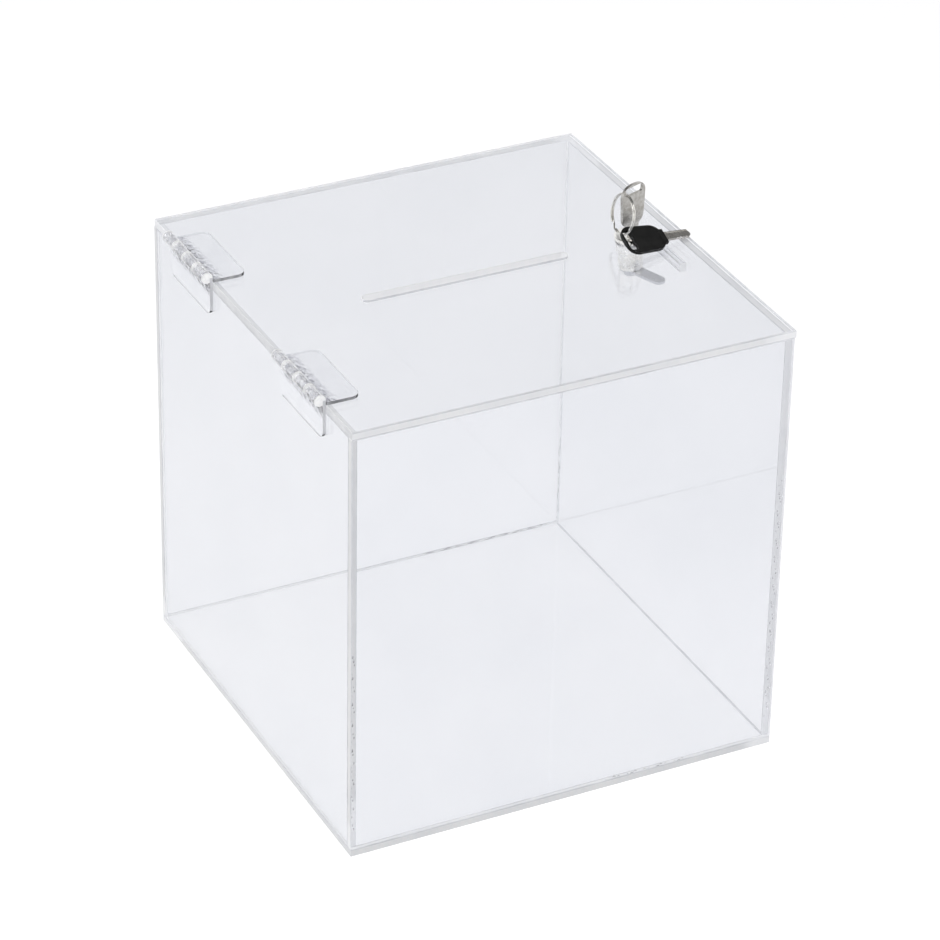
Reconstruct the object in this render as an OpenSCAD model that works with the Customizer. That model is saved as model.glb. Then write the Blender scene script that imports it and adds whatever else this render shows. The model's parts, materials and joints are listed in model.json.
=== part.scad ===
// Clear ballot box with a hinged lid, a cam lock and two keys on a ring.
// The origin is the centre of the base's underside. X runs from the hinge side to the lock side,
// Y from the front to the back, Z up. Sizes are in millimetres.

/* [Box] */
// Width from the hinge side to the lock side
box_w = 300; // [260:5:400]
// Depth from the front to the back
box_d = 300; // [260:5:400]
// Height with the lid closed
box_h = 305; // [200:5:400]
// Thickness of the sheet in the base and the walls
wall_t = 5; // [4:0.5:8]
// Thickness of the lid sheet
lid_t = 5; // [4:0.5:8]
// How far the lid stands out past the lock-side wall
lid_lip = 1; // [0:0.5:3]
// Gap between the lid's edge and the plane of the hinge-side wall
lid_gap = 0.3; // [0.2:0.1:1]

/* [Posting slot] */
// Length of the slot from end to end
slot_len = 143; // [100:1:180]
// Width of the slot
slot_w = 7; // [5:0.5:12]
// How far the slot's middle lies towards the hinges from the box's middle
slot_to_hinges = 2.5; // [0:0.5:20]
// How far the slot's middle lies in front of the box's middle
slot_to_front = 2; // [0:0.5:40]

/* [Hinges] */
// Length of a hinge along the wall
hinge_len = 63; // [50:1:90]
// From the pin's axis to the outer edge of a leaf
leaf_reach = 27; // [18:0.5:40]
// Thickness of a leaf
leaf_t = 2; // [1.5:0.5:3]
// Radius of a leaf's outer corners
leaf_round = 6; // [2:0.5:10]
// Diameter of a knuckle
knuckle_d = 7.5; // [7:0.5:10]
// Number of knuckles on a hinge
knuckles = 4; // [3:1:7]
// Diameter of a hinge pin
hinge_pin_d = 2.4; // [2:0.1:3]
// Gap between knuckles, and round them
knuckle_gap = 0.4; // [0.3:0.1:0.8]
// From the back of the box to the rear hinge
rear_hinge_inset = 32; // [10:1:40]
// From the front of the box to the front hinge
front_hinge_inset = 36.5; // [10:0.5:40]

/* [Lock] */
// From the lock-side wall's outer face to the lock's axis
lock_inset = 34; // [28:1:45]
// Diameter of the flange on the lid
flange_d = 22; // [20:0.5:26]
// Thickness of the flange
flange_t = 3; // [2:0.5:5]
// Diameter of the threaded barrel
barrel_d = 16; // [15:0.5:18]
// Length of the barrel under the flange
barrel_len = 22; // [20:0.5:30]
// Diameter of the turning plug
plug_d = 12; // [11.5:0.1:12.5]
// Diameter of the plug's head
plug_head_d = 14.5; // [13.5:0.1:15]
// Thickness of the plug's head
plug_head_t = 1.5; // [1:0.1:2]
// How far the plug's head stands out of the flange
plug_proud = 0.4; // [0.2:0.1:0.8]
// Running clearance round the plug
plug_gap = 0.05; // [0.02:0.01:0.1]
// Width of the nut across its flats
nut_flats = 19; // [18:0.5:24]
// Thickness of the nut
nut_t = 4; // [3:0.5:6]
// Thickness of the washer under the nut
nut_washer_t = 0.8; // [0.5:0.1:1.5]
// Turn of the key from its open stop, as it stands at rest
key_turn = 20; // [0:1:60]

/* [Cam and catch] */
// Width of the cam round the plug's tail
cam_w = 13; // [11:0.5:16]
// Width of the cam's arm
cam_arm_w = 9; // [7:0.5:10.5]
// Thickness of the cam
cam_t = 2; // [1.5:0.5:3]
// Gap between the turned cam and the lock-side wall
cam_wall_gap = 0.5; // [0.5:0.5:2]
// Side of the square tail on the plug
tail_w = 5.6; // [5:0.1:6]
// Thickness of the stop washer
stop_t = 1.2; // [0.8:0.1:2]
// Thickness of the spring washer under the screw
cam_washer_t = 0.8; // [0.5:0.1:1.2]
// Diameter of the cam screw's shank
screw_d = 3.9; // [3:0.1:4]
// Height of the cam screw's head
screw_head_h = 2.6; // [2:0.1:3]
// Diameter of the cam screw's head
screw_head_d = 7.6; // [6.5:0.1:8]
// Length of the catch along the wall
catch_len = 44; // [30:1:60]
// How far the catch stands in from the wall
catch_t = 5; // [3:0.5:8]
// Height of the catch
catch_h = 6; // [4:0.5:10]
// Gap between the cam and the catch above it
catch_gap = 0.8; // [0.5:0.1:1.5]

/* [Tumblers] */
// Number of tumblers in the plug
tumblers = 5; // [3:1:5]
// Distance from one tumbler to the next
tumbler_pitch = 2.4; // [2.2:0.1:2.6]
// Thickness of a tumbler
tumbler_t = 1.1; // [0.8:0.1:1.2]
// Width of a tumbler across the blade
tumbler_w = 4.4; // [4:0.1:4.8]
// Length of a tumbler
tumbler_len = 10.2; // [9.8:0.1:10.4]

/* [Keys] */
// Width of a key's bow at its far end
bow_w = 21.5; // [20:0.5:26]
// Width of a key's bow at its neck
bow_neck_w = 20; // [17:0.5:22]
// Length of a key's bow
bow_len = 30; // [27:0.5:36]
// Radius of the bow's corners at its far end
bow_round = 7; // [5:0.5:8]
// Radius of the bow's corners at its neck
bow_low_round = 8; // [6:0.5:9]
// Radius of the bow's curved far end
bow_crown = 22; // [20:1:40]
// Thickness of the metal
key_t = 2; // [1.6:0.1:2.2]
// Thickness of the spare key's moulded head
head_t = 2.6; // [2.4:0.1:3.2]
// Width of the metal tang inside the moulded head
tang_w = 6; // [5:0.5:7]
// Thickness of the tang
tang_t = 1.2; // [1:0.1:1.4]
// How far the tang reaches into the moulded head
tang_len = 15; // [10:0.5:18]
// Length of the slot in the bow
bow_slot_len = 16; // [13:0.5:17]
// Height of the slot in the bow
bow_slot_h = 5.5; // [4:0.1:6]
// Radius of the slot's corners
bow_slot_round = 1.5; // [0.5:0.1:2]
// From the slot to the bow's far end
bow_slot_edge = 1.6; // [1.4:0.1:4]
// Length of the neck between bow and blade
neck_len = 1.5; // [1:0.5:3]
// Width of the neck
neck_w = 11; // [9:0.5:13]
// Width of the blade
blade_w = 6; // [5.6:0.1:7.2]
// Length of the blade
blade_len = 19; // [18.5:0.5:21]
// Length of blade that stays outside the lock
blade_out = 4; // [3:0.5:6]

/* [Key ring] */
// Diameter of the ring at the middle of its wire
ring_d = 26; // [25:0.5:28]
// Diameter of the ring's wire, which goes round twice
ring_wire = 1.2; // [1:0.1:1.3]
// Turn of the ring away from square to the bow
ring_yaw = -18.5; // [-24:0.5:0]
// Where the spare key hangs, as an angle round the ring from its lowest point
spare_hang = 38.5; // [32:0.5:42]
// Direction of the spare key, seen from above
spare_yaw = 5.5; // [0:0.5:12]
// Roll of the spare key about its length
spare_roll = 24; // [10:0.5:30]
// Gap between the spare key's tip and the lid
spare_tip_gap = 0; // [0:0.1:3]

/* [Hidden] */

$fn = 64;
eps = 0.01;

wall_top = box_h - lid_t;
wall_h = wall_top - wall_t;

knuckle_r = knuckle_d / 2;
hinge_x = -box_w / 2 - knuckle_r;
hinge_z = box_h + knuckle_r;
rear_hinge_y = box_d / 2 - rear_hinge_inset - hinge_len / 2;
front_hinge_y = -box_d / 2 + front_hinge_inset + hinge_len / 2;
pin_gap = 0.05;

lock_x = box_w / 2 - lock_inset;
flange_top = box_h + flange_t;
plug_top = flange_top + plug_proud;
barrel_end = box_h - barrel_len;
barrel_gap = 0.1;
// The cam hangs under the barrel on the plug's tail, behind the stop washer
stop_top = barrel_end - 0.1;
cam_top = stop_top - stop_t;
cam_bottom = cam_top - cam_t;
stop_r = plug_d / 2 + 0.5;
stop_arm_w = 4;
stop_half_angle = asin(stop_arm_w / 2 / (stop_r + 0.3)) + 1.5;
tail_end = cam_bottom + 0.2;
tail_gap = 0.1;
cam_reach = lock_inset - wall_t - cam_wall_gap;
washer_bottom = cam_bottom - cam_washer_t;
screw_end = barrel_end + 4;
catch_bottom = cam_top + catch_gap;

keyway_gap = 0.15;
neck_z = plug_top + blade_out;
bow_z = neck_z + neck_len;
blade_tip_z = neck_z - blade_len;
tumbler_gap = 0.1;
spring_r = 0.42;
spring_wire_r = 0.13;
spring_turns = 3;
spring_lane = 1.5;
bit_depth = 1;
// Heights of the tumblers, counted along the blade from the neck
function tumbler_drop(i) = blade_out + plug_head_t + 2.6 + i * tumbler_pitch;

bow_slot_z = bow_len - bow_slot_edge - bow_slot_h;
tang_gap = 0.05;
panel_t = 0.2;

// The ring passes through the bow's slot and round the bow's lower corner. Both points are
// given in the key's own plane, as distance from the lock's axis and height over the neck end.
ring_r = ring_d / 2;
ring_turn_shift = ring_wire * 0.48;
ring_width = ring_wire + 2 * ring_turn_shift;
ring_side = 0.71;
ring_rest = 0.56;
ring_top_x = -bow_slot_len / 2 + ring_width / 2 + ring_side;
ring_top_z = bow_slot_z + ring_wire / 2 + ring_rest;
ring_low_z = ring_top_z - 0.98 * ring_d;
ring_low_x = -bow_neck_w / 2 - 1.65 - max(0, ring_low_z) * 0.3;
ring_tilt = asin((ring_top_x - ring_low_x) / ring_d);
ring_mid = [ring_top_x - ring_r * sin(ring_tilt), 0, ring_top_z - ring_r * cos(ring_tilt)];

// Rotations as matrices, to carry a point from the ring to the spare key
function turn_x(a, p) = [p.x, p.y * cos(a) - p.z * sin(a), p.y * sin(a) + p.z * cos(a)];
function turn_y(a, p) = [p.x * cos(a) + p.z * sin(a), p.y, -p.x * sin(a) + p.z * cos(a)];
function turn_z(a, p) = [p.x * cos(a) - p.y * sin(a), p.x * sin(a) + p.y * cos(a), p.z];
function ring_place(p) = ring_mid + turn_y(ring_tilt, turn_z(ring_yaw, p));
function key_place(p) = [lock_x, 0, bow_z] + turn_z(key_turn, p);

// The spare key hangs on the wire in front of the ring's lowest point, at the near end of its slot
hang_point = key_place(ring_place([0, -ring_r * sin(spare_hang), -ring_r * cos(spare_hang)]));
hang_x = -bow_slot_len / 2 + ring_wire / 2 + 1.2;
hang_z = bow_slot_z + bow_slot_h / 2 - 1;
spare_arm = hang_z + neck_len + blade_len;
// The blade meets the lid's edge a little behind its tip
spare_tip_up = blade_w / 2 * sin(spare_roll) + key_t / 2 * cos(spare_roll) + spare_tip_gap;
spare_fall = hang_point.z + hang_x * sin(spare_roll) - box_h - spare_tip_up;
spare_pitch = asin(spare_fall / spare_arm);

// Flat plate with its corner at the first point and its far corner at the second
module block(a, b) {
  translate(a) cube(b - a);
}

// Points along an arc
function arc(centre, r, from, to, steps = 8) =
  [for (i = [0:steps]) let (a = from + (to - from) * i / steps) centre + r * [cos(a), sin(a)]];

// Outline of a bow: straight sides that run in to the neck, four round corners and a curved far end
module bow_outline(inset) {
  top_r = bow_round - inset;
  low_r = bow_low_round - inset;
  crown_z = bow_len - bow_crown;
  top_x = bow_w / 2 - bow_round;
  top = [top_x, crown_z + sqrt(pow(bow_crown - bow_round, 2) - top_x * top_x)];
  low = [bow_neck_w / 2 - bow_low_round, bow_low_round];
  crown_at = atan2(top.y - crown_z, top.x);
  // Where the straight side touches both corners
  lean = atan2(top.y - low.y, top.x - low.x) - acos((bow_low_round - bow_round) / norm(top - low));
  right = concat(arc(low, low_r, -90, lean), arc(top, top_r, lean, crown_at));
  crown = arc([0, crown_z], bow_crown - inset, crown_at, 180 - crown_at);
  last = len(right) - 1;
  polygon(concat(
    right,
    [for (i = [1:len(crown) - 2]) crown[i]],
    [for (i = [0:last]) [-right[last - i].x, right[last - i].y]]
  ));
}

// Slot with round corners
module bow_slot() {
  r = bow_slot_round;
  wide = bow_slot_len / 2 - bow_slot_round;
  high = bow_slot_h / 2 - bow_slot_round;
  translate([0, bow_slot_z + bow_slot_h / 2]) {
    square([2 * (wide + r), 2 * high], center = true);
    square([2 * wide, 2 * (high + r)], center = true);
    for (sx = [-1, 1], sz = [-1, 1]) translate([sx * wide, sz * high]) circle(r);
  }
}

// Stands a flat outline up in the key's plane, from one depth to another
module upright(from, to) {
  translate([0, to, 0]) rotate([90, 0, 0]) linear_extrude(to - from) children();
}

// Blade with its grooves, cuts and slanted tip, with the bow's lower end at the origin and the tip down
module blade(top) {
  difference() {
    block([-blade_w / 2, -key_t / 2, -neck_len - blade_len], [blade_w / 2, key_t / 2, top]);
    // Groove down one half of each face
    for (s = [-1, 1])
      block([0.6, s * key_t / 2 - 0.45, -neck_len - blade_len - eps],
        [2.4, s * key_t / 2 + 0.45, -neck_len - 0.8]);
    // Cuts that lift the tumblers, on the other edge
    for (i = [0:tumblers - 1])
      translate([-blade_w / 2, 0, -neck_len - tumbler_drop(i)])
        rotate([0, 45, 0])
          cube([bit_depth * (1 + i % 2 * 0.4), key_t * 2, bit_depth * (1 + i % 2 * 0.4)], center = true);
    for (s = [-1, 1])
      translate([s * blade_w / 2, 0, -neck_len - blade_len])
        rotate([0, 45, 0]) cube([2.2, key_t * 2, 2.2], center = true);
  }
}

// Key stamped from one plate: bow, neck and blade
module metal_key() {
  blade(bow_low_round);
  upright(-key_t / 2, key_t / 2) difference() {
    union() {
      bow_outline(0);
      translate([-neck_w / 2, -neck_len]) square([neck_w, neck_len + bow_low_round]);
    }
    bow_slot();
  }
}

// Blade of a key with a moulded head, with the thinner tang that the head is moulded over.
// Its cuts are on the other edge, so that they face the front on the lid.
module tanged_blade() {
  rotate([0, 0, 180]) blade(-neck_len);
  block([-tang_w / 2, -tang_t / 2, -neck_len - 1], [tang_w / 2, tang_t / 2, tang_len]);
}

// Moulded head: rim round a shallow panel on each face, a slot, a neck, and a pocket for the tang
module moulded_head() {
  difference() {
    upright(-head_t / 2, head_t / 2) difference() {
      union() {
        bow_outline(0);
        translate([-neck_w / 2, -neck_len]) square([neck_w, neck_len + bow_low_round]);
      }
      bow_slot();
    }
    for (s = [-1, 1])
      upright(s * head_t / 2 - panel_t, s * head_t / 2 + panel_t) intersection() {
        bow_outline(1.6);
        translate([-bow_w / 2, 2.4]) square([bow_w, bow_slot_z - 4]);
      }
    block([-tang_w / 2 - tang_gap, -tang_t / 2 - tang_gap, -neck_len - eps],
      [tang_w / 2 + tang_gap, tang_t / 2 + tang_gap, tang_len + tang_gap]);
  }
}

module at_lock_key() {
  translate([lock_x, 0, bow_z]) rotate([0, 0, key_turn]) children();
}

module at_spare_key() {
  translate(hang_point)
    rotate([0, 0, spare_yaw]) rotate([0, spare_pitch, 0]) rotate([spare_roll, 0, 0])
      rotate([90, 0, -90]) translate([-hang_x, 0, -hang_z]) children();
}

// Leaf of a hinge, drawn for the lid: its plate lies on the XY plane and the pin's axis runs along Y.
// first is 0 for the leaf with the end knuckles and 1 for the other.
module leaf(first) {
  pitch = hinge_len / knuckles;
  own = [for (i = [first:2:knuckles - 1]) i];
  difference() {
    union() {
      difference() {
        translate([0, -hinge_len / 2, -knuckle_r]) linear_extrude(leaf_t) leaf_outline();
        for (i = [1 - first:2:knuckles - 1])
          block([-1, -hinge_len / 2 + i * pitch - knuckle_gap / 2, -knuckle_r - 1],
            [knuckle_r + knuckle_gap, -hinge_len / 2 + (i + 1) * pitch + knuckle_gap / 2, 0]);
      }
      for (i = own)
        translate([0, -hinge_len / 2 + i * pitch + knuckle_gap / 2, 0])
          rotate([-90, 0, 0]) cylinder(r = knuckle_r, h = pitch - knuckle_gap);
    }
    translate([0, -hinge_len / 2 - 1, 0])
      rotate([-90, 0, 0]) cylinder(r = hinge_pin_d / 2 + pin_gap, h = hinge_len + 2);
  }
}

module leaf_outline() {
  end = leaf_reach - leaf_round;
  square([end, hinge_len]);
  translate([0, leaf_round]) square([leaf_reach, hinge_len - 2 * leaf_round]);
  for (y = [leaf_round, hinge_len - leaf_round]) translate([end, y]) circle(leaf_round);
}

module hinge_lid_leaf(y) {
  color("whitesmoke") translate([hinge_x, y, hinge_z]) leaf(1);
}

module hinge_wall_leaf(y) {
  color("whitesmoke") translate([hinge_x, y, hinge_z]) rotate([0, 90, 0]) mirror([0, 0, 1]) leaf(0);
}

module hinge_pin(y) {
  color("gainsboro") translate([hinge_x, y - hinge_len / 2, hinge_z])
    rotate([-90, 0, 0]) cylinder(r = hinge_pin_d / 2, h = hinge_len);
}

module base_panel() {
  color("lavender") block([-box_w / 2, -box_d / 2, 0], [box_w / 2, box_d / 2, wall_t]);
}

module end_wall(y) {
  color("lavender") block([-box_w / 2, y, wall_t], [box_w / 2, y + wall_t, wall_top]);
}

module side_wall(x) {
  color("lavender") block([x, -box_d / 2 + wall_t, wall_t], [x + wall_t, box_d / 2 - wall_t, wall_top]);
}

module catch_bar() {
  inner = box_w / 2 - wall_t;
  color("lavender")
    block([inner - catch_t, -catch_len / 2, catch_bottom], [inner, catch_len / 2, catch_bottom + catch_h]);
}

module lid_panel() {
  color("lavender") difference() {
    block([-box_w / 2 + lid_gap, -box_d / 2, wall_top], [box_w / 2 + lid_lip, box_d / 2, box_h]);
    translate([-slot_to_hinges, -slot_to_front, wall_top - 1]) linear_extrude(lid_t + 2) {
      square([slot_len - slot_w, slot_w], center = true);
      for (s = [-1, 1]) translate([s * (slot_len - slot_w) / 2, 0]) circle(slot_w / 2);
    }
    translate([lock_x, 0, wall_top - 1]) cylinder(r = barrel_d / 2 + barrel_gap, h = lid_t + 2);
  }
}

module lock_housing() {
  edge = 0.8;
  color("silver") translate([lock_x, 0, 0]) difference() {
    union() {
      translate([0, 0, box_h]) cylinder(r = flange_d / 2, h = flange_t - edge);
      translate([0, 0, flange_top - edge]) cylinder(r1 = flange_d / 2, r2 = flange_d / 2 - edge, h = edge);
      translate([0, 0, barrel_end]) cylinder(r = barrel_d / 2, h = barrel_len + eps);
      // Lug that the stop washer's arm turns between
      translate([0, 0, cam_top + 0.2]) rotate([0, 0, 90 + stop_half_angle])
        rotate_extrude(angle = 270 - 2 * stop_half_angle)
          translate([stop_r + 0.3, 0]) square([barrel_d / 2 - stop_r - 0.3, stop_t]);
    }
    translate([0, 0, barrel_end - 1]) cylinder(r = plug_d / 2 + plug_gap, h = barrel_len + flange_t + 2);
    translate([0, 0, flange_top - plug_head_t + plug_proud])
      cylinder(r = plug_head_d / 2 + plug_gap, h = plug_head_t + 1);
  }
}

module lock_nut() {
  top = wall_top - nut_washer_t;
  color("silver") translate([lock_x, 0, top - nut_t]) difference() {
    cylinder(r = nut_flats / 2 / cos(30), h = nut_t, $fn = 6);
    translate([0, 0, -1]) cylinder(r = barrel_d / 2 + barrel_gap / 2, h = nut_t + 2);
  }
}

module nut_washer() {
  color("silver") translate([lock_x, 0, wall_top - nut_washer_t]) difference() {
    cylinder(r = nut_flats / 2 + 1, h = nut_washer_t);
    translate([0, 0, -1]) cylinder(r = barrel_d / 2 + barrel_gap / 2, h = nut_washer_t + 2);
  }
}

module at_plug() {
  translate([lock_x, 0, 0]) rotate([0, 0, key_turn]) children();
}

module lock_plug() {
  color("gainsboro") at_plug() difference() {
    union() {
      translate([0, 0, barrel_end]) cylinder(r = plug_d / 2, h = plug_top - barrel_end - eps);
      translate([0, 0, plug_top - plug_head_t]) cylinder(r = plug_head_d / 2, h = plug_head_t);
      block([-tail_w / 2, -tail_w / 2, tail_end], [tail_w / 2, tail_w / 2, barrel_end + eps]);
    }
    // Keyway, open at the face
    block([-blade_w / 2 - keyway_gap, -key_t / 2 - keyway_gap, blade_tip_z - 1],
      [blade_w / 2 + keyway_gap, key_t / 2 + keyway_gap, plug_top + 1]);
    // One chamber for each tumbler, with a lane for its spring
    for (i = [0:tumblers - 1]) translate([0, 0, neck_z - tumbler_drop(i)]) {
      cube([tumbler_len, tumbler_w, tumbler_t] + 2 * tumbler_gap * [1, 1, 1], center = true);
      translate([0, tumbler_w / 2 + spring_lane / 2, 0])
        cube([tumbler_len * 0.6, spring_lane + 2 * tumbler_gap, tumbler_t + 2 * tumbler_gap], center = true);
    }
    translate([0, 0, tail_end - 1]) cylinder(r = screw_d / 2 + 0.05, h = screw_end - tail_end + 1.3);
  }
}

module tumbler_wafers() {
  color("goldenrod") at_plug() for (i = [0:tumblers - 1]) translate([0, 0, neck_z - tumbler_drop(i)]) {
    difference() {
      union() {
        cube([tumbler_len, tumbler_w, tumbler_t], center = true);
        // Arm that the spring pushes on
        translate([-tumbler_len * 0.3 + 0.6, tumbler_w / 2 + spring_lane / 2 - 0.1, 0])
          cube([1.1, spring_lane, tumbler_t], center = true);
      }
      cube([blade_w + 2 * keyway_gap, key_t + 2 * keyway_gap, tumbler_t + 1], center = true);
    }
  }
}

module tumbler_springs() {
  from = -tumbler_len * 0.3 + 1.2;
  to = tumbler_len * 0.3;
  color("silver") at_plug() for (i = [0:tumblers - 1])
    translate([from, tumbler_w / 2 + spring_lane / 2, neck_z - tumbler_drop(i)])
      rotate([0, 90, 0])
        linear_extrude(height = to - from, twist = -360 * spring_turns, slices = 8 * spring_turns, $fn = 6)
          translate([spring_r, 0]) circle(spring_wire_r);
}

module square_hole(z, h) {
  w = tail_w / 2 + tail_gap;
  block([-w, -w, z - 1], [w, w, z + h + 1]);
}

module stop_washer() {
  color("silver") at_plug() difference() {
    union() {
      translate([0, 0, cam_top]) cylinder(r = stop_r, h = stop_t);
      block([0, -stop_arm_w / 2, cam_top], [barrel_d / 2, stop_arm_w / 2, stop_top]);
    }
    square_hole(cam_top, stop_t);
  }
}

// The cam points square to the key's bow, towards the front
module lock_cam() {
  color("silver") at_plug() difference() {
    translate([0, 0, cam_bottom]) linear_extrude(cam_t) {
      circle(cam_w / 2);
      translate([-cam_arm_w / 2, -cam_reach + cam_arm_w / 2]) square([cam_arm_w, cam_reach - cam_arm_w / 2]);
      translate([0, -cam_reach + cam_arm_w / 2]) circle(cam_arm_w / 2);
    }
    square_hole(cam_bottom, cam_t);
  }
}

module cam_washer() {
  color("silver") at_plug() difference() {
    translate([0, 0, washer_bottom]) cylinder(r = tail_w / 2 * 1.6, h = cam_washer_t);
    translate([0, 0, washer_bottom - 1]) cylinder(r = screw_d / 2 + 0.15, h = cam_washer_t + 2);
  }
}

module cam_screw() {
  color("silver") at_plug() difference() {
    union() {
      translate([0, 0, washer_bottom - screw_head_h]) cylinder(r = screw_head_d / 2, h = screw_head_h);
      translate([0, 0, washer_bottom - eps]) cylinder(r = screw_d / 2, h = screw_end - washer_bottom);
    }
    for (a = [0, 90]) rotate([0, 0, a])
      translate([0, 0, washer_bottom - screw_head_h]) cube([screw_head_d * 0.6, 0.9, 2.4], center = true);
  }
}

module lock_key() {
  color("silver") at_lock_key() metal_key();
}

module spare_key_blade() {
  color("silver") at_spare_key() tanged_blade();
}

module spare_key_head() {
  color("black") at_spare_key() moulded_head();
}

module key_ring() {
  color("silver") at_lock_key()
    translate(ring_mid) rotate([0, ring_tilt, 0]) rotate([0, 0, ring_yaw]) rotate([0, 90, 0])
      difference() {
        rotate_extrude() for (s = [-1, 1]) translate([ring_r, s * ring_turn_shift]) circle(ring_wire / 2);
        // Where the wire's two ends part
        for (s = [-1, 1]) rotate([0, 0, -60 - s * 5])
          translate([ring_r - ring_wire, -0.2, s > 0 ? 0 : -ring_width])
            cube([ring_wire * 2, 0.4, ring_width]);
      }
}

base_panel();
end_wall(-box_d / 2);  // front_wall
end_wall(box_d / 2 - wall_t);  // back_wall
side_wall(-box_w / 2);  // hinge_side_wall
side_wall(box_w / 2 - wall_t);  // lock_side_wall
catch_bar();
lid_panel();
hinge_wall_leaf(rear_hinge_y);  // rear_hinge_wall_leaf
hinge_lid_leaf(rear_hinge_y);  // rear_hinge_lid_leaf
hinge_pin(rear_hinge_y);  // rear_hinge_pin
hinge_wall_leaf(front_hinge_y);  // front_hinge_wall_leaf
hinge_lid_leaf(front_hinge_y);  // front_hinge_lid_leaf
hinge_pin(front_hinge_y);  // front_hinge_pin
lock_housing();
lock_nut();
nut_washer();
lock_plug();
tumbler_wafers();
tumbler_springs();
stop_washer();
lock_cam();
cam_washer();
cam_screw();
lock_key();
key_ring();
spare_key_blade();
spare_key_head();
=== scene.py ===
# Clear ballot box: hinged lid with a posting slot, cam lock, one key in the lock and a spare on a ring
import json
import math
import bpy
from mathutils import Matrix, Vector


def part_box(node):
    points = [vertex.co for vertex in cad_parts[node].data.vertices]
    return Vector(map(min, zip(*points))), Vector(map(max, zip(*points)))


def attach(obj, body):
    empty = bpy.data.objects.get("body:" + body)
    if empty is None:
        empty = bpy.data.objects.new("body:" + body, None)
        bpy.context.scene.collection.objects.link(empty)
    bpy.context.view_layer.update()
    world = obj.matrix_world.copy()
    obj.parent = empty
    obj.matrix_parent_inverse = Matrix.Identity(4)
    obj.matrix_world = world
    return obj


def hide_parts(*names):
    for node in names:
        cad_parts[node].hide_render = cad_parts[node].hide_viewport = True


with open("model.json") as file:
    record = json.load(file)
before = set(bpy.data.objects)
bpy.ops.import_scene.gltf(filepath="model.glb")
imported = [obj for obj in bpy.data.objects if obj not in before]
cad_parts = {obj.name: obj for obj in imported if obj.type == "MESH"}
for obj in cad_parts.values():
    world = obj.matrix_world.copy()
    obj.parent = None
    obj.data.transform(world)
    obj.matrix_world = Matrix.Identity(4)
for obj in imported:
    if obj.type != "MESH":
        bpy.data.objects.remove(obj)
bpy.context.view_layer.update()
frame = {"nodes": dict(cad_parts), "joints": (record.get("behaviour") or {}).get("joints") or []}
print("frame loaded:", len(frame["nodes"]), "nodes")


# Selecting, modifiers and hand-over to the frame

def pickOnly(obj):
    bpy.ops.object.select_all(action="DESELECT")
    obj.select_set(True)
    bpy.context.view_layer.objects.active = obj


def applyModifier(obj, kind, **settings):
    pickOnly(obj)
    modifier = obj.modifiers.new(kind.lower(), kind)
    for name, value in settings.items():
        setattr(modifier, name, value)
    bpy.ops.object.modifier_apply(modifier=modifier.name)


def roundEdges(obj, width, segments=2, angle=35):
    applyModifier(obj, "BEVEL", width=width, segments=segments, limit_method="ANGLE",
                  angle_limit=math.radians(angle), use_clamp_overlap=True)


def shadeByAngle(obj, angle=38):
    pickOnly(obj)
    bpy.ops.object.shade_smooth_by_angle(angle=math.radians(angle))
    applyModifier(obj, "WEIGHTED_NORMAL", weight=100, keep_sharp=True)  # flats stay flat beside rounded edges


def selectPoints(obj, wanted):
    pickOnly(obj)
    bpy.ops.object.mode_set(mode="EDIT")
    bpy.ops.mesh.select_mode(type="VERT")
    bpy.ops.mesh.select_all(action="DESELECT")
    bpy.ops.object.mode_set(mode="OBJECT")
    for vertex in obj.data.vertices:
        vertex.select = wanted(vertex.co)
    bpy.ops.object.mode_set(mode="EDIT")


def giveMaterials(obj, *materials):
    obj.data.materials.clear()
    for material in materials:
        obj.data.materials.append(material)


def handOver(obj, body, slotName, *nodes):
    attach(obj, body)
    if nodes:
        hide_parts(*nodes)


# Materials: every pattern is laid out in metres by object coordinates

def newMaterial(name):
    material = bpy.data.materials.new(name)
    material.use_nodes = True
    shader = material.node_tree.nodes["Principled BSDF"]
    return material, shader, material.node_tree.nodes, material.node_tree.links


def addNoise(nodes, links, scale, detail=4, stretch=(1, 1, 1)):
    place = nodes.new("ShaderNodeTexCoord")
    mapping = nodes.new("ShaderNodeMapping")
    mapping.inputs["Scale"].default_value = stretch
    noise = nodes.new("ShaderNodeTexNoise")
    noise.inputs["Scale"].default_value = scale
    noise.inputs["Detail"].default_value = detail
    links.new(place.outputs["Object"], mapping.inputs["Vector"])
    links.new(mapping.outputs["Vector"], noise.inputs["Vector"])
    return noise


def addRamp(nodes, links, source, low, high, start=0.35, end=0.65):
    ramp = nodes.new("ShaderNodeValToRGB")
    ramp.color_ramp.elements[0].position = start
    ramp.color_ramp.elements[1].position = end
    ramp.color_ramp.elements[0].color = low
    ramp.color_ramp.elements[1].color = high
    links.new(source, ramp.inputs["Fac"])
    return ramp


def grey(value):
    return (value, value, value, 1)


def addBump(nodes, links, shader, source, distance, strength=1.0):
    bump = nodes.new("ShaderNodeBump")
    bump.inputs["Strength"].default_value = strength
    bump.inputs["Distance"].default_value = distance
    links.new(source, bump.inputs["Height"])
    links.new(bump.outputs["Normal"], shader.inputs["Normal"])
    return bump


def eitherRay(nodes, links, *kinds):
    path = nodes.new("ShaderNodeLightPath")
    share = path.outputs[kinds[0]]
    for kind in kinds[1:]:
        either = nodes.new("ShaderNodeMath")
        either.operation = "MAXIMUM"
        links.new(share, either.inputs[0])
        links.new(path.outputs[kind], either.inputs[1])
        share = either.outputs[0]
    return share


def lightPasses(nodes, links, shader, share):
    cover = nodes.new("ShaderNodeMapRange")  # clear plastic casts only a faint shadow
    cover.inputs["To Min"].default_value = 1
    cover.inputs["To Max"].default_value = 1 - share
    links.new(eitherRay(nodes, links, "Is Shadow Ray", "Is Diffuse Ray"), cover.inputs["Value"])
    links.new(cover.outputs["Result"], shader.inputs["Alpha"])


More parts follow.
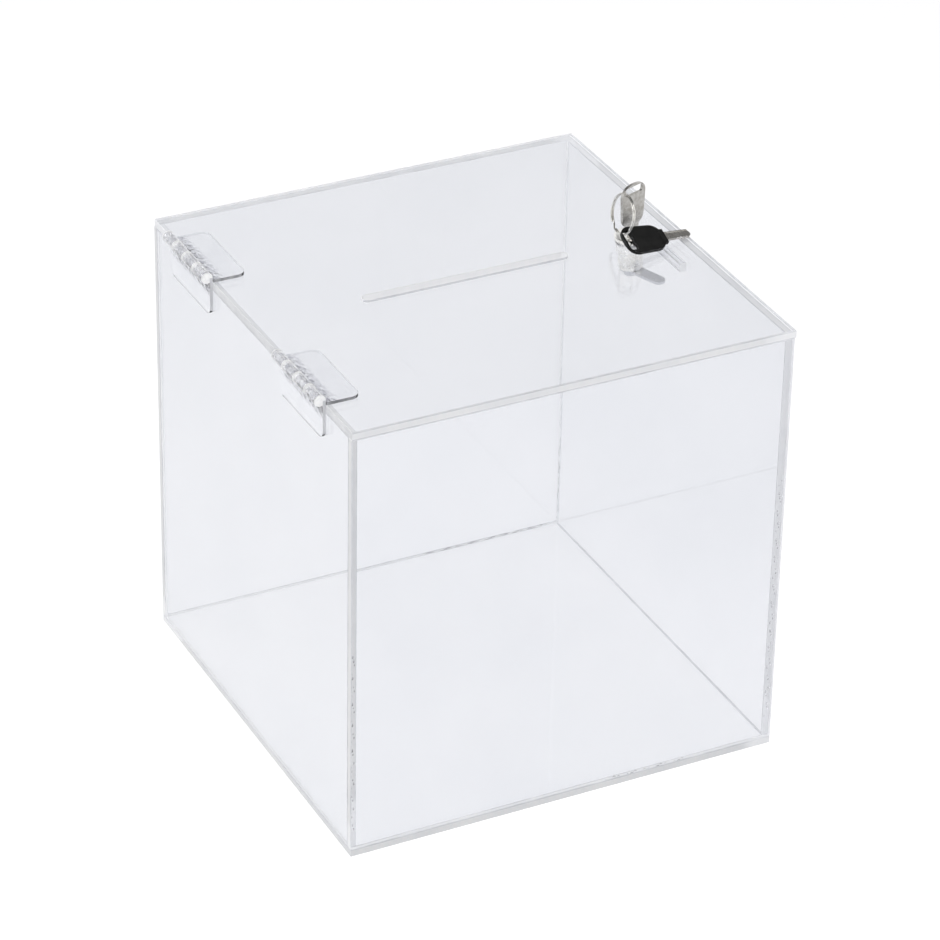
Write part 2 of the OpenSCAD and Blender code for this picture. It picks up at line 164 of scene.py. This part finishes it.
def clearPlastic(name, look):
    material, shader, nodes, links = newMaterial(name)
    lightPasses(nodes, links, shader, look["lightThrough"])
    shader.inputs["Transmission Weight"].default_value = look["clear"]
    shader.inputs["IOR"].default_value = look.get("bending", 1.49)
    cloud = addNoise(nodes, links, look["cloudScale"], 3)
    tint = addRamp(nodes, links, cloud.outputs["Fac"], look["tintLow"], look["tintHigh"])
    links.new(tint.outputs["Color"], shader.inputs["Base Color"])
    smear = addNoise(nodes, links, look["smearScale"], 6)
    rough = addRamp(nodes, links, smear.outputs["Fac"], grey(look["smooth"]), grey(look["rough"]), 0.45, 0.8)
    links.new(rough.outputs["Color"], shader.inputs["Roughness"])
    wave = addNoise(nodes, links, look["waveScale"], 2, look.get("waveStretch", (1, 1, 1)))
    addBump(nodes, links, shader, wave.outputs["Fac"], look["waveHeight"])
    return material


def tintOver(nodes, links, share, colour):
    shader = nodes["Principled BSDF"]
    blend = nodes.new("ShaderNodeMix")
    blend.data_type = "RGBA"
    under, over = blend.inputs[6], blend.inputs[7]  # the colour sockets
    links.new(share, blend.inputs[0])
    links.new(shader.inputs["Base Color"].links[0].from_socket, under)
    links.new(colour, over)
    links.new(blend.outputs[2], shader.inputs["Base Color"])


def nearPin(nodes, links, look):
    place = nodes.new("ShaderNodeTexCoord")
    acrossOnly = nodes.new("ShaderNodeMapping")
    acrossOnly.inputs["Scale"].default_value = (1, 0, 1)
    distance = nodes.new("ShaderNodeVectorMath")
    distance.operation = "DISTANCE"
    distance.inputs[1].default_value = (look["pinX"], 0, look["pinZ"])
    fade = nodes.new("ShaderNodeMapRange")
    fade.interpolation_type = "SMOOTHSTEP"
    fade.inputs["From Min"].default_value = look["glueAndShadeFrom"]
    fade.inputs["From Max"].default_value = look["glueAndShadeTo"]
    fade.inputs["To Min"].default_value = 1
    fade.inputs["To Max"].default_value = 0
    links.new(place.outputs["Object"], acrossOnly.inputs["Vector"])
    links.new(acrossOnly.outputs["Vector"], distance.inputs[0])
    links.new(distance.outputs["Value"], fade.inputs["Value"])
    return fade.outputs["Result"]


# Clear plastic with dried glue under it: the glue's lumps are a bump, and its dark and light streaks close to the
# pin are painted shade and painted glints
def glueAndGlintPlastic(name, look):
    material = clearPlastic(name, look)
    nodes, links = material.node_tree.nodes, material.node_tree.links
    shader = nodes["Principled BSDF"]
    streaks = addNoise(nodes, links, look["streakScale"], 3, look["streakStretch"])
    marks = addRamp(nodes, links, streaks.outputs["Fac"], look["glueShadeDark"], look["glueGlintLight"], 0.42, 0.56)
    share = nearPin(nodes, links, look)
    tintOver(nodes, links, share, marks.outputs["Color"])
    lumps = nodes.new("ShaderNodeMath")
    lumps.operation = "MULTIPLY"
    links.new(streaks.outputs["Fac"], lumps.inputs[0])
    links.new(share, lumps.inputs[1])
    addBump(nodes, links, shader, lumps.outputs[0], look["lumpHeight"])
    return material


# Mottled knuckles, with a painted glint at each joint: a pale, frosted stripe of colour stands in for the light on
# the knuckle ends
def jointedPlastic(name, look, firstJoint):
    material = clearPlastic(name, look)
    nodes, links = material.node_tree.nodes, material.node_tree.links
    place = nodes.new("ShaderNodeTexCoord")
    along = nodes.new("ShaderNodeSeparateXYZ")
    links.new(place.outputs["Object"], along.inputs["Vector"])
    share = along.outputs["Y"]
    for operation, value in (("SUBTRACT", firstJoint), ("DIVIDE", look["pitch"]), ("PINGPONG", 0.5)):
        step = nodes.new("ShaderNodeMath")
        step.operation = operation
        step.inputs[1].default_value = value
        links.new(share, step.inputs[0])
        share = step.outputs[0]
    jointGlint = addRamp(nodes, links, share, grey(1), grey(0), look["glintWidth"] * 0.7, look["glintWidth"])
    glintWhite = nodes.new("ShaderNodeRGB")
    glintWhite.outputs[0].default_value = look["glintColour"]
    tintOver(nodes, links, jointGlint.outputs["Color"], glintWhite.outputs[0])
    shader = nodes["Principled BSDF"]
    frost = nodes.new("ShaderNodeMath")
    frost.operation = "MULTIPLY_ADD"
    frost.inputs[1].default_value = look["glintFrost"]
    links.new(jointGlint.outputs["Color"], frost.inputs[0])
    links.new(shader.inputs["Roughness"].links[0].from_socket, frost.inputs[2])
    links.new(frost.outputs[0], shader.inputs["Roughness"])
    return material


def metal(name, look):
    material, shader, nodes, links = newMaterial(name)
    shader.inputs["Metallic"].default_value = 1
    patch = addNoise(nodes, links, look["patchScale"], 5)
    tint = addRamp(nodes, links, patch.outputs["Fac"], look["dark"], look["light"])
    links.new(tint.outputs["Color"], shader.inputs["Base Color"])
    grain = addNoise(nodes, links, look["grainScale"], 4, look.get("grainStretch", (1, 1, 1)))
    rough = addRamp(nodes, links, grain.outputs["Fac"], grey(look["smooth"]), grey(look["rough"]))
    links.new(rough.outputs["Color"], shader.inputs["Roughness"])
    addBump(nodes, links, shader, grain.outputs["Fac"], look["grainHeight"])
    return material


def threadedMetal(name, look):
    material = metal(name, look)
    nodes, links = material.node_tree.nodes, material.node_tree.links
    place = nodes.new("ShaderNodeTexCoord")
    rings = nodes.new("ShaderNodeTexWave")
    rings.bands_direction = "Z"
    rings.inputs["Scale"].default_value = math.pi / 10 / look["threadPitch"]
    links.new(place.outputs["Object"], rings.inputs["Vector"])
    addBump(nodes, links, nodes["Principled BSDF"], rings.outputs["Fac"], look["threadHeight"])
    return material


def mouldedPlastic(name, look):
    material, shader, nodes, links = newMaterial(name)
    patch = addNoise(nodes, links, look["patchScale"], 4)
    tint = addRamp(nodes, links, patch.outputs["Fac"], look["dark"], look["light"])
    links.new(tint.outputs["Color"], shader.inputs["Base Color"])
    grain = addNoise(nodes, links, look["grainScale"], 3)
    rough = addRamp(nodes, links, grain.outputs["Fac"], grey(look["smooth"]), grey(look["rough"]))
    links.new(rough.outputs["Color"], shader.inputs["Roughness"])
    addBump(nodes, links, shader, grain.outputs["Fac"], look["grainHeight"])
    return material


sheetLook = {
    "tintLow": (0.868, 0.876, 0.898, 1), "tintHigh": (0.888, 0.894, 0.914, 1), "cloudScale": 9,
    "smooth": 0.0, "rough": 0.03, "smearScale": 22, "waveScale": 14, "waveHeight": 0.00003,
    "clear": 1, "lightThrough": 0.99,
}
# The base sheet is a lighter copy of the clear sheet: painted light, for the light the base gets from above
litBaseLook = dict(sheetLook, tintLow=(0.91, 0.917, 0.938, 1), tintHigh=(0.93, 0.936, 0.954, 1))
edgeLook = {
    "tintLow": (0.9, 0.91, 0.94, 1), "tintHigh": (0.985, 0.99, 1, 1), "cloudScale": 30,
    "smooth": 0.05, "rough": 0.2, "smearScale": 90, "waveScale": 130, "waveHeight": 0.0001,
    "clear": 0.25, "lightThrough": 0.9,
}
# Rounded arrises: a darker grey tint that is painted shade
shadedArrisLook = {
    "tintLow": (0.66, 0.67, 0.71, 1), "tintHigh": (0.82, 0.83, 0.87, 1), "cloudScale": 60,
    "smooth": 0.1, "rough": 0.3, "smearScale": 120, "waveScale": 200, "waveHeight": 0.0001,
    "clear": 0.25, "lightThrough": 0.9,
}
# The lid's edge over the hinge side is a greyer copy of the edge material, and a leaf's front edge is dark: both
# are painted shade
shadedHingeSideLook = dict(edgeLook, tintLow=(0.82, 0.83, 0.86, 1), tintHigh=(0.94, 0.95, 0.975, 1), cloudScale=90)
leafEdgeLook = dict(shadedArrisLook, tintLow=(0.36, 0.37, 0.4, 1), tintHigh=(0.78, 0.79, 0.82, 1), cloudScale=260,
                    clear=0.5)
slotLook = {
    "tintLow": (0.93, 0.94, 0.97, 1), "tintHigh": (0.975, 0.98, 1, 1), "cloudScale": 50,
    "smooth": 0.02, "rough": 0.1, "smearScale": 120, "waveScale": 120, "waveHeight": 0.0001,
    "clear": 0.15, "lightThrough": 0.95,
}
# The slot's front wall is a darker copy of the arris material: painted shade
shadedSlotFrontLook = dict(shadedArrisLook, tintLow=(0.42, 0.43, 0.47, 1), tintHigh=(0.6, 0.61, 0.65, 1))
hingeLook = {
    "tintLow": (0.94, 0.945, 0.96, 1), "tintHigh": (0.975, 0.98, 0.99, 1), "cloudScale": 60,
    "smooth": 0.0, "rough": 0.05, "smearScale": 160, "waveScale": 90, "waveHeight": 0.00006,
    "clear": 1, "lightThrough": 0.92,
}
# The glue's dark and light streak colours are painted shade and painted glints
leafLook = dict(
    hingeLook, pinX=-0.15375, pinZ=0.30875, glueAndShadeFrom=0.006, glueAndShadeTo=0.0155, streakScale=420,
    streakStretch=(1, 0.55, 1), glueShadeDark=(0.5, 0.5, 0.55, 1), glueGlintLight=(0.97, 0.975, 0.985, 1), lumpHeight=0.0006,
)
faintLook = dict(hingeLook, bending=1.12)
knuckleLook = {
    "tintLow": (0.5, 0.51, 0.55, 1), "tintHigh": (0.84, 0.845, 0.87, 1), "cloudScale": 260,
    "smooth": 0.02, "rough": 0.1, "smearScale": 300, "waveScale": 320, "waveHeight": 0.0005,
    "clear": 0.85, "lightThrough": 0.85,
    # the pale colour at each joint is a painted glint
    "pitch": 0.01575, "glintWidth": 0.09, "glintColour": (1, 1, 1, 1), "glintFrost": 0.5,
}
# Rims of the knuckles and the pins: a pale, nearly opaque material that is a painted glint
glintRimLook = {
    "tintLow": (0.9, 0.905, 0.92, 1), "tintHigh": (1, 1, 1, 1), "cloudScale": 500,
    "smooth": 0.1, "rough": 0.3, "smearScale": 400, "waveScale": 300, "waveHeight": 0.00005,
    "clear": 0.05, "lightThrough": 0.8,
}
bubbleLook = {
    "tintLow": (0.8, 0.81, 0.84, 1), "tintHigh": (0.9, 0.9, 0.93, 1), "cloudScale": 300,
    "smooth": 0.02, "rough": 0.1, "smearScale": 400, "waveScale": 500, "waveHeight": 0.00005,
    "clear": 1, "lightThrough": 0.8, "bending": 0.67,
}
chromeLook = {
    "dark": (0.86, 0.85, 0.83, 1), "light": (0.97, 0.965, 0.95, 1), "patchScale": 260,
    "smooth": 0.12, "rough": 0.24, "grainScale": 700, "grainHeight": 0.00002,
}
threadLook = dict(
    chromeLook, dark=(0.94, 0.925, 0.89, 1), light=(1, 0.995, 0.98, 1), smooth=0.22, rough=0.36,
    threadPitch=0.0015, threadHeight=0.00007,
)
brightLook = dict(chromeLook, dark=(0.93, 0.92, 0.9, 1), light=(1, 0.995, 0.985, 1), smooth=0.2, rough=0.34)
zincLook = {
    "dark": (0.6, 0.61, 0.64, 1), "light": (0.7, 0.71, 0.74, 1), "patchScale": 90,
    "smooth": 0.26, "rough": 0.4, "grainScale": 900, "grainHeight": 0.00001,
}
nickelLook = {
    "dark": (0.44, 0.42, 0.39, 1), "light": (0.6, 0.59, 0.57, 1), "patchScale": 420,
    "smooth": 0.24, "rough": 0.36, "grainScale": 1900, "grainHeight": 0.00002,
}
ringLook = {
    "dark": (0.5, 0.49, 0.47, 1), "light": (0.86, 0.85, 0.81, 1), "patchScale": 150,
    "smooth": 0.05, "rough": 0.14, "grainScale": 900, "grainHeight": 0.00001,
}
brassLook = {
    "dark": (0.5, 0.36, 0.13, 1), "light": (0.72, 0.55, 0.25, 1), "patchScale": 300,
    "smooth": 0.2, "rough": 0.4, "grainScale": 900, "grainHeight": 0.00003,
}
blackLook = {
    "dark": (0.001, 0.001, 0.001, 1), "light": (0.006, 0.006, 0.006, 1), "patchScale": 220,
    "smooth": 0.34, "rough": 0.52, "grainScale": 3200, "grainHeight": 0.00002,
}

clearSheet = clearPlastic("clearSheet", sheetLook)
baseSheet = clearPlastic("baseSheet", litBaseLook)
sheetEdge = clearPlastic("sheetEdge", edgeLook)
shadedArris = clearPlastic("shadedArris", shadedArrisLook)
shadedHingeSideEdge = clearPlastic("shadedHingeSideEdge", shadedHingeSideLook)
leafEdge = clearPlastic("leafEdge", leafEdgeLook)
slotWall = clearPlastic("slotWall", slotLook)
shadedSlotFront = clearPlastic("shadedSlotFront", shadedSlotFrontLook)
clearHinge = clearPlastic("clearHinge", hingeLook)
glueAndGlintLeaf = glueAndGlintPlastic("glueAndGlintLeaf", leafLook)
faintEdge = clearPlastic("faintEdge", faintLook)
rearKnuckle = jointedPlastic("rearKnuckle", knuckleLook, 0.055)
frontKnuckle = jointedPlastic("frontKnuckle", knuckleLook, -0.1135)
knuckleGlint = clearPlastic("knuckleGlint", glintRimLook)
seamBubble = clearPlastic("seamBubble", bubbleLook)
chrome = metal("chrome", chromeLook)
threadedChrome = threadedMetal("threadedChrome", threadLook)
brightSteel = metal("brightSteel", brightLook)
zincSteel = metal("zincSteel", zincLook)
nickel = metal("nickel", nickelLook)
ringSteel = metal("ringSteel", ringLook)
brass = metal("brass", brassLook)
blackPlastic = mouldedPlastic("blackPlastic", blackLook)
blackPlastic.node_tree.nodes["Principled BSDF"].inputs["Specular IOR Level"].default_value = 0.25
print("materials made")


# Sheets: each a little smaller than its place, so that a hair of air shows at every seam

sheets = {
    "air": 0.00002,
    "edgeRound": 0.0005,
    "slotLength": 0.143,
    "slotWidth": 0.007,
    "slotCentre": (-0.0025, -0.002),
    "lockCentre": (0.116, 0.0),
    "lockHoleRadius": 0.0081,
    "thinAxis": {
        "base_panel": 2, "front_wall": 1, "back_wall": 1, "hinge_side_wall": 0, "lock_side_wall": 0,
        "catch_bar": 0, "lid_panel": 2,
    },
}


def plainSheet(node):
    low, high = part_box(node)
    low = Vector(low) + Vector((1, 1, 1)) * sheets["air"]
    high = Vector(high) - Vector((1, 1, 1)) * sheets["air"]
    bpy.ops.object.select_all(action="DESELECT")
    bpy.ops.mesh.primitive_cube_add(size=1, location=(low + high) / 2)
    sheet = bpy.context.object
    sheet.name = node.replace("_", " ").title().replace(" ", "") + "Sheet"
    sheet.scale = high - low
    bpy.ops.object.transform_apply(location=True, rotation=True, scale=True)
    return sheet


def cutAway(sheet, cutter):
    applyModifier(sheet, "BOOLEAN", operation="DIFFERENCE", object=cutter, solver="EXACT")
    bpy.data.objects.remove(cutter)


def slotCutter(low, high):
    centre = (sheets["slotCentre"][0], sheets["slotCentre"][1], (low + high) / 2)
    straight = (sheets["slotLength"] - sheets["slotWidth"]) / 2
    bpy.ops.object.select_all(action="DESELECT")
    bpy.ops.mesh.primitive_cylinder_add(vertices=48, radius=sheets["slotWidth"] / 2, depth=(high - low) * 3,
                                        location=centre)
    cutter = bpy.context.object
    selectPoints(cutter, lambda point: point.x > 0.00001)
    bpy.ops.transform.translate(value=(straight, 0, 0))
    bpy.ops.mesh.select_all(action="INVERT")
    bpy.ops.transform.translate(value=(-straight, 0, 0))
    bpy.ops.object.mode_set(mode="OBJECT")
    return cutter


def lockCutter(low, high):
    bpy.ops.object.select_all(action="DESELECT")
    bpy.ops.mesh.primitive_cylinder_add(vertices=64, radius=sheets["lockHoleRadius"], depth=(high - low) * 3,
                                        location=(*sheets["lockCentre"], (low + high) / 2))
    return bpy.context.object


def finishSheet(sheet, node, body):
    roundEdges(sheet, sheets["edgeRound"])
    shadeByAngle(sheet, 12)
    giveMaterials(sheet, baseSheet if node == "base_panel" else clearSheet, sheetEdge, shadedArris, slotWall,
                  shadedHingeSideEdge, shadedSlotFront)
    thin = sheets["thinAxis"][node]
    for face in sheet.data.polygons:
        across = abs(face.normal[thin])
        face.material_index = 0 if across > 0.999 else 1 if across < 0.02 else 2
        if node == "catch_bar":  # frosted ends, clear sides
            flat = max(abs(n) for n in face.normal) > 0.999
            face.material_index = 3 if abs(face.normal.y) > 0.9 else 0 if flat else 1
        # in the slot, the wall facing +y gets the darker copy: painted shade
        if node == "lid_panel" and face.material_index > 0 and abs(face.center.y) < 0.006 and face.center.x < 0.1:
            face.material_index = 1 if across > 0.02 else 5 if face.normal.y > 0.3 else 3
        # the lid's hinge-side edge gets the greyer copy of the edge material: painted shade
        if node == "lid_panel" and face.normal.x < -0.9 and face.center.x < -0.14:
            face.material_index = 4
        if node == "lid_panel" and face.normal.y < -0.9 and face.center.y < -0.14:
            face.material_index = 3
        if node == "front_wall" and face.normal.x > 0.9 or node == "lock_side_wall" and face.normal.y < -0.9:
            face.material_index = 3
        # the lock side wall's underside gets the arris's painted shade
        if node == "lock_side_wall" and face.normal.z < -0.9:
            face.material_index = 2
    handOver(sheet, body, "clear_sheet", node)


for node in sheets["thinAxis"]:
    sheet = plainSheet(node)
    if node == "lid_panel":
        low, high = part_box(node)
        cutAway(sheet, slotCutter(low[2], high[2]))
        cutAway(sheet, lockCutter(low[2], high[2]))
    finishSheet(sheet, node, "lid" if node == "lid_panel" else "box")
print("sheets made")


# Bubbles that the solvent left in the lower part of the corner seams

seams = {
    "beadRadius": (0.00025, 0.0006),
    "pitch": 0.0042,
    "across": 0.0025,
    "rows": [
        {"name": "frontHingeSeam", "start": (-0.1475, -0.145, 0.012), "end": (-0.1475, -0.145, 0.15), "wide": 0},
        {"name": "frontLockSeam", "start": (0.1475, -0.145, 0.02), "end": (0.1475, -0.145, 0.2), "wide": 0},
        {"name": "backLockSeam", "start": (0.1475, 0.145, 0.01), "end": (0.1475, 0.145, 0.075), "wide": 0,
         "swell": 1.6},
        {"name": "backBaseSeam", "start": (0.04, 0.1475, 0.005), "end": (0.14, 0.1475, 0.005), "wide": 1,
         "swell": 1.6},
        {"name": "frontBaseSeam", "start": (0.03, -0.1475, 0.005), "end": (0.09, -0.1475, 0.005), "wide": 1},
    ],
}


def scatter(index, step):
    return (index * step) % 1.0


def bubbleRow(row, style, body, slotName):
    start, end = Vector(row["start"]), Vector(row["end"])
    count = int((end - start).length / style["pitch"])
    small, large = style["beadRadius"]
    bpy.ops.object.select_all(action="DESELECT")
    beads = []
    for i in range(count):
        at = start.lerp(end, (i + 0.8 * scatter(i, 0.618)) / count)
        at[row["wide"]] += (scatter(i, 0.7549) - 0.5) * style["across"]
        radius = (small + (large - small) * scatter(i, 0.733)) * row.get("swell", 1)
        bpy.ops.mesh.primitive_ico_sphere_add(subdivisions=2, radius=radius, location=at)
        beads.append(bpy.context.object)
        along = (end - start).normalized()
        beads[-1].scale = [1 + 1.2 * abs(a) for a in along]
    for bead in beads:
        bead.select_set(True)
    bpy.context.view_layer.objects.active = beads[0]
    bpy.ops.object.join()
    bpy.ops.object.transform_apply(location=True, rotation=True, scale=True)
    bubbles = bpy.context.object
    bubbles.name = row["name"]
    bpy.ops.object.shade_smooth()
    giveMaterials(bubbles, seamBubble)
    handOver(bubbles, body, slotName)


for row in seams["rows"]:
    bubbleRow(row, seams, "box", "clear_sheet")
print("seams made")


# Hard pieces keep the frame's shape, with their sharp edges rounded

hardPieces = {
    "rear_hinge_wall_leaf": ("box", "clear_hinge", 0.0006, clearHinge),
    "rear_hinge_lid_leaf": ("lid", "clear_hinge", 0.0006, clearHinge),
    "front_hinge_wall_leaf": ("box", "clear_hinge", 0.0006, clearHinge),
    "front_hinge_lid_leaf": ("lid", "clear_hinge", 0.0006, clearHinge),
    # The pins get the knuckle rims' painted glint
    "rear_hinge_pin": ("box", "clear_hinge", 0.0002, knuckleGlint),
    "front_hinge_pin": ("box", "clear_hinge", 0.0002, knuckleGlint),
    "lock_housing": ("lid", "chrome", 0.00025, chrome),
    "lock_nut": ("lid", "plated_steel", 0.0002, brightSteel),
    "nut_washer": ("lid", "plated_steel", 0.00015, brightSteel),
    "lock_plug": ("plug", "chrome", 0.0001, chrome),
    "stop_washer": ("plug", "plated_steel", 0.00015, zincSteel),
    "lock_cam": ("plug", "plated_steel", 0.0003, zincSteel),
    "cam_washer": ("plug", "plated_steel", 0.00015, zincSteel),
    "cam_screw": ("plug", "plated_steel", 0.0002, zincSteel),
    "lock_key": ("key", "key_metal", 0.00025, nickel),
    "spare_key_blade": ("spare_key", "key_metal", 0.00015, nickel),
    "spare_key_head": ("spare_key", "black_plastic", 0.0003, blackPlastic),
}
hinges = {
    "pinX": -0.15375,
    "pinZ": 0.30875,
    "knuckleRadius": 0.00375,
}


def hardPiece(node, body, slotName, width, material):
    source = frame["nodes"][node]
    piece = bpy.data.objects.new(node.replace("_", " ").title().replace(" ", ""), source.data.copy())
    bpy.context.collection.objects.link(piece)
    pickOnly(piece)
    bpy.ops.object.mode_set(mode="EDIT")
    bpy.ops.mesh.select_all(action="SELECT")
    bpy.ops.mesh.remove_doubles(threshold=0.000002)
    bpy.ops.mesh.dissolve_limited(angle_limit=math.radians(0.6))
    bpy.ops.object.mode_set(mode="OBJECT")
    roundEdges(piece, width)
    shadeByAngle(piece)
    giveMaterials(piece, material)
    handOver(piece, body, slotName, node)
    return piece


# The knuckles' rims get a painted glint, the leaves' front edges get painted shade, and the leaves are seen by
# their front edges only
def finishLeaf(leaf, node):
    giveMaterials(leaf, faintEdge, leafEdge if "lid" in node else shadedArris,
                  rearKnuckle if "rear" in node else frontKnuckle, knuckleGlint, glueAndGlintLeaf)
    for face in leaf.data.polygons:
        fromPin = math.hypot(face.center.x - hinges["pinX"], face.center.z - hinges["pinZ"])
        onKnuckle = fromPin < hinges["knuckleRadius"] * 1.02
        alongPin = abs(face.normal.y)
        if onKnuckle:
            face.material_index = 3 if alongPin > 0.15 else 2  # the knuckles' rounded ends get a painted glint
        else:
            flat = abs(face.normal.z if "lid" in node else face.normal.x) > 0.999
            face.material_index = 1 if face.normal.y < -0.9 else 4 if flat else 0


for node, (body, slotName, width, material) in hardPieces.items():
    piece = hardPiece(node, body, slotName, width, material)
    if node.endswith("leaf"):
        finishLeaf(piece, node)
    if node == "lock_housing":
        giveMaterials(piece, chrome, threadedChrome)
        for face in piece.data.polygons:
            face.material_index = 1 if face.center.z < 0.3 and abs(face.normal.z) < 0.3 else 0

frame["nodes"]["tumbler_wafers"].data.materials.clear()
frame["nodes"]["tumbler_wafers"].data.materials.append(brass)
frame["nodes"]["tumbler_springs"].data.materials.clear()
frame["nodes"]["tumbler_springs"].data.materials.append(zincSteel)
print("hard pieces made")


# Split ring: two turns of wire side by side, with a step from one to the other

ringShape = {
    "radius": 0.013,
    "wire": 0.0012,
    "side": 0.000576,
    "startAngle": 10,
    "endAngle": 706,
    "stepFrom": 350,
    "stepTo": 370,
    "points": 180,
}


def splitRing():
    joint = next(j for j in frame["joints"] if j["name"] == "ring_turn")
    centre = Vector(joint["pos_m"])
    axis = Vector(joint["axis"]).normalized()
    upward = (Vector((0, 0, 1)) - axis * axis.z).normalized()
    sideways = axis.cross(upward)
    curve = bpy.data.curves.new("keyRing", "CURVE")
    curve.dimensions = "3D"
    curve.bevel_depth = ringShape["wire"] / 2
    curve.bevel_resolution = 4
    curve.use_fill_caps = True
    wire = curve.splines.new("POLY")
    wire.points.add(ringShape["points"] - 1)
    for i, point in enumerate(wire.points):
        along = i / (ringShape["points"] - 1)
        angle = ringShape["startAngle"] + (ringShape["endAngle"] - ringShape["startAngle"]) * along
        step = min(max((angle - ringShape["stepFrom"]) / (ringShape["stepTo"] - ringShape["stepFrom"]), 0), 1)
        shift = ringShape["side"] * (2 * step * step * (3 - 2 * step) - 1)
        turn = math.radians(angle + 150)
        at = centre + ringShape["radius"] * (upward * math.cos(turn) + sideways * math.sin(turn)) + axis * shift
        point.co = (*at, 1)
    ring = bpy.data.objects.new("KeyRing", curve)
    bpy.context.collection.objects.link(ring)
    pickOnly(ring)
    bpy.ops.object.convert(target="MESH")
    ring = bpy.context.object
    shadeByAngle(ring, 50)
    giveMaterials(ring, ringSteel)
    handOver(ring, "ring", "key_metal", "key_ring")


splitRing()
print("ring made")


# Floor, light and camera

studio = {
    "floorSize": 12,
    "floorDrop": 0.0001,
    "floorColour": (0.84, 0.84, 0.845, 1),
    "floorGlow": 0.22,
    "worldLight": 0.72,
    "ceilingFrom": 0.35,
    "ceilingTo": 0.8,
    "ceilingLight": 0.1,
    "keyPower": 34,
    "fillPower": 12,
}
viewpoint = {
    "place": (-1.06824, -2.11171, 1.57032),
    "right": (0.89605, -0.44362, 0.01713),
    "up": (0.21374, 0.46491, 0.85917),
    "forward": (0.38911, 0.76620, -0.51140),
    "lens": 163.93,
    "sensor": 36,
}


def makeFloor():
    bpy.ops.object.select_all(action="DESELECT")
    bpy.ops.mesh.primitive_plane_add(size=studio["floorSize"], location=(0, 0, -studio["floorDrop"]))
    floor = bpy.context.object
    floor.name = "Floor"
    material, shader, nodes, links = newMaterial("floorWhite")
    shader.inputs["Base Color"].default_value = studio["floorColour"]
    shader.inputs["Roughness"].default_value = 0.9
    shader.inputs["Specular IOR Level"].default_value = 0
    shader.inputs["Emission Color"].default_value = (1, 1, 1, 1)
    glow = nodes.new("ShaderNodeMath")
    glow.operation = "MULTIPLY"
    glow.inputs[1].default_value = studio["floorGlow"]
    links.new(eitherRay(nodes, links, "Is Camera Ray", "Is Transmission Ray"), glow.inputs[0])
    links.new(glow.outputs[0], shader.inputs["Emission Strength"])
    floor.data.materials.append(material)


def makeWorld():
    world = bpy.data.worlds.new("studioWorld")
    bpy.context.scene.world = world
    world.use_nodes = True
    nodes, links = world.node_tree.nodes, world.node_tree.links
    background = nodes["Background"]
    strength = nodes.new("ShaderNodeMapRange")
    strength.inputs["To Min"].default_value = studio["worldLight"]
    strength.inputs["To Max"].default_value = 1
    seen = eitherRay(nodes, links, "Is Camera Ray", "Is Glossy Ray", "Is Transmission Ray")
    links.new(seen, strength.inputs["Value"])
    links.new(strength.outputs["Result"], background.inputs["Strength"])
    # Mirrored and bent rays see the dark ceiling of the studio
    place = nodes.new("ShaderNodeTexCoord")
    height = nodes.new("ShaderNodeSeparateXYZ")
    ceiling = nodes.new("ShaderNodeMapRange")
    ceiling.interpolation_type = "SMOOTHSTEP"
    ceiling.inputs["From Min"].default_value = studio["ceilingFrom"]
    ceiling.inputs["From Max"].default_value = studio["ceilingTo"]
    ceiling.inputs["To Min"].default_value = 1
    ceiling.inputs["To Max"].default_value = studio["ceilingLight"]
    mirrored = nodes.new("ShaderNodeMix")
    mirrored.inputs["A"].default_value = 1
    links.new(place.outputs["Generated"], height.inputs["Vector"])
    links.new(height.outputs["Z"], ceiling.inputs["Value"])
    links.new(eitherRay(nodes, links, "Is Glossy Ray", "Is Transmission Ray"), mirrored.inputs["Factor"])
    links.new(ceiling.outputs["Result"], mirrored.inputs["B"])
    links.new(mirrored.outputs["Result"], background.inputs["Color"])


def softLamp(name, place, target, size, power):
    lamp = bpy.data.lights.new(name, "AREA")
    lamp.size = size
    lamp.energy = power
    holder = bpy.data.objects.new(name, lamp)
    bpy.context.collection.objects.link(holder)
    holder.location = place
    holder.rotation_euler = (Vector(target) - Vector(place)).to_track_quat("-Z", "Y").to_euler()


def makeCamera():
    camera = bpy.data.cameras.new("camera")
    camera.lens = viewpoint["lens"]
    camera.sensor_width = viewpoint["sensor"]
    camera.clip_end = 50
    holder = bpy.data.objects.new("Camera", camera)
    bpy.context.collection.objects.link(holder)
    right, up, forward = (Vector(viewpoint[k]) for k in ("right", "up", "forward"))
    turn = Matrix((right, up, -forward)).transposed().to_4x4()
    holder.matrix_world = Matrix.Translation(viewpoint["place"]) @ turn
    bpy.context.scene.camera = holder


makeFloor()
makeWorld()
softLamp("keyLamp", (-1.6, -0.6, 2.6), (0, 0, 0.15), 1.6, studio["keyPower"])
softLamp("fillLamp", (2.2, -1.4, 1.6), (0, 0, 0.15), 1.8, studio["fillPower"])
makeCamera()
bpy.context.scene.view_settings.view_transform = "Standard"
print("studio made")
